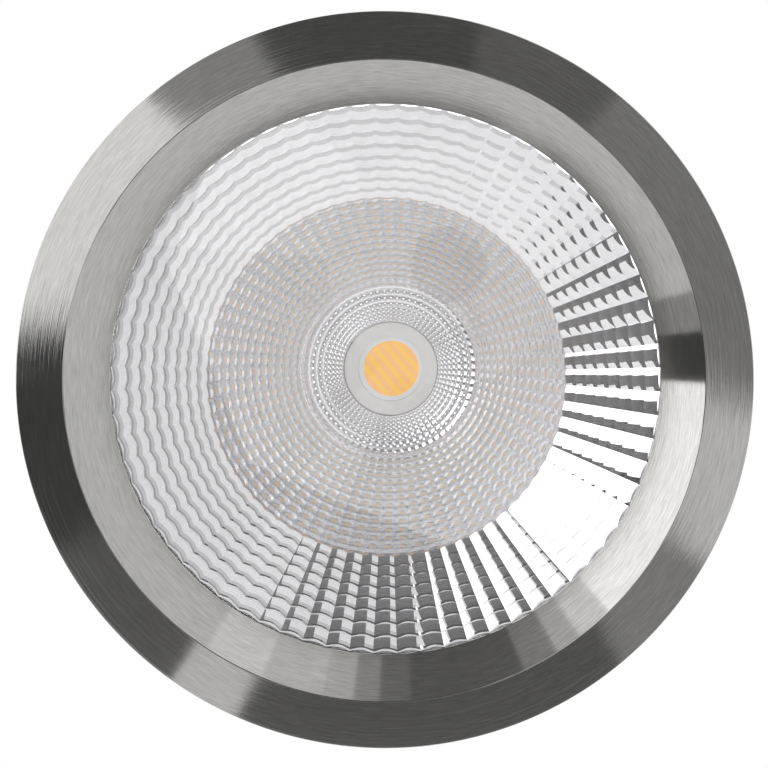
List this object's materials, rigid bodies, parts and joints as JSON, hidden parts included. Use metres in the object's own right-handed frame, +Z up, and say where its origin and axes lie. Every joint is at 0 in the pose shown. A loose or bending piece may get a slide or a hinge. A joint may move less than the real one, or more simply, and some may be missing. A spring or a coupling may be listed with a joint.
{
  "type": "soffit downlight",
  "caption": "Round recessed downlight with a bevelled stainless trim, faceted reflector, LED, finned body, driver case and sprung clips.",
  "frame": {"origin": "centre of the trim ring in the soffit plane, where the flange gasket meets the board", "axes": "+Z up into the ceiling along the spigot's axis; the light shines towards -Z; the cable gland points to -Y"},
  "size_m": [0.2, 0.2, 0.1619],
  "materials": {
    "brushed_stainless": "satin brushed",
    "black_sponge": "matte",
    "clear_glass": "clear",
    "black_silicone": "matte",
    "metallised_reflector": "faceted bright",
    "cast_aluminium": "cast, satin",
    "thermal_pad": "matte",
    "white_ceramic": "satin",
    "yellow_phosphor": "satin",
    "white_moulding": "satin",
    "lead_insulation": "satin",
    "plated_steel": "zinc plated",
    "stainless_fastener": "plain",
    "black_nylon": "matte",
    "circuit_board": "solder mask",
    "ferrite": "matte",
    "capacitor_sleeve": "shrink sleeve",
    "copper_winding": "enamelled",
    "terminal_plastic": "matte",
    "nickel_plated_brass": "nickel plated",
    "spring_steel": "plain",
    "spring_wire": "drawn",
    "soft_sleeve": "matte"
  },
  "bodies": {
    "fitting": {"trim_ring": "brushed_stainless", "soffit_gasket": "black_sponge", "lens_glass": "clear_glass", "lens_gasket": "black_silicone", "reflector": "metallised_reflector", "housing_can": "cast_aluminium", "front_screws": "stainless_fastener", "heat_sink": "cast_aluminium", "sink_seal": "black_silicone", "sink_screws": "stainless_fastener", "thermal_pad": "thermal_pad", "led_board": "white_ceramic", "led_phosphor": "yellow_phosphor", "led_holder": "white_moulding", "holder_screws": "stainless_fastener", "led_leads": "lead_insulation", "lead_grommet": "black_silicone", "case_standoffs": "plated_steel", "standoff_screws": "stainless_fastener", "driver_case": "cast_aluminium", "case_gasket": "black_silicone", "case_cover": "cast_aluminium", "cover_screws": "stainless_fastener", "vent_plug": "black_nylon", "driver_board": "circuit_board", "board_screws": "stainless_fastener", "transformer": "ferrite", "capacitors": "capacitor_sleeve", "choke": "copper_winding", "terminal_block": "terminal_plastic", "gland_body": "nickel_plated_brass", "gland_locknut": "nickel_plated_brass", "gland_seal": "black_silicone", "gland_nut": "nickel_plated_brass", "clip_brackets": "spring_steel", "bracket_screws": "stainless_fastener", "clip_pins": "stainless_fastener", "clip_springs": "spring_wire"},
    "clip_1": {"clip_arm_1": "spring_steel", "clip_pad_1": "soft_sleeve"},
    "clip_2": {"clip_arm_2": "spring_steel", "clip_pad_2": "soft_sleeve"},
    "clip_3": {"clip_arm_3": "spring_steel", "clip_pad_3": "soft_sleeve"}
  },
  "joints": [
    {"name": "clip_1_hinge", "type": "hinge", "parent": "fitting", "child": "clip_1", "pos_m": [0, 0.0823, 0.028], "axis": [1, 0, 0], "range_deg": [0, 170], "stiffness_Nm_per_rad": 0.06, "springref_deg": -143.24},
    {"name": "clip_2_hinge", "type": "hinge", "parent": "fitting", "child": "clip_2", "pos_m": [-0.07127, -0.04115, 0.028], "axis": [-0.5, 0.866, 0], "range_deg": [0, 170], "stiffness_Nm_per_rad": 0.06, "springref_deg": -143.24},
    {"name": "clip_3_hinge", "type": "hinge", "parent": "fitting", "child": "clip_3", "pos_m": [0.07127, -0.04115, 0.028], "axis": [-0.5, -0.866, 0], "range_deg": [0, 170], "stiffness_Nm_per_rad": 0.06, "springref_deg": -143.24}
  ]
}
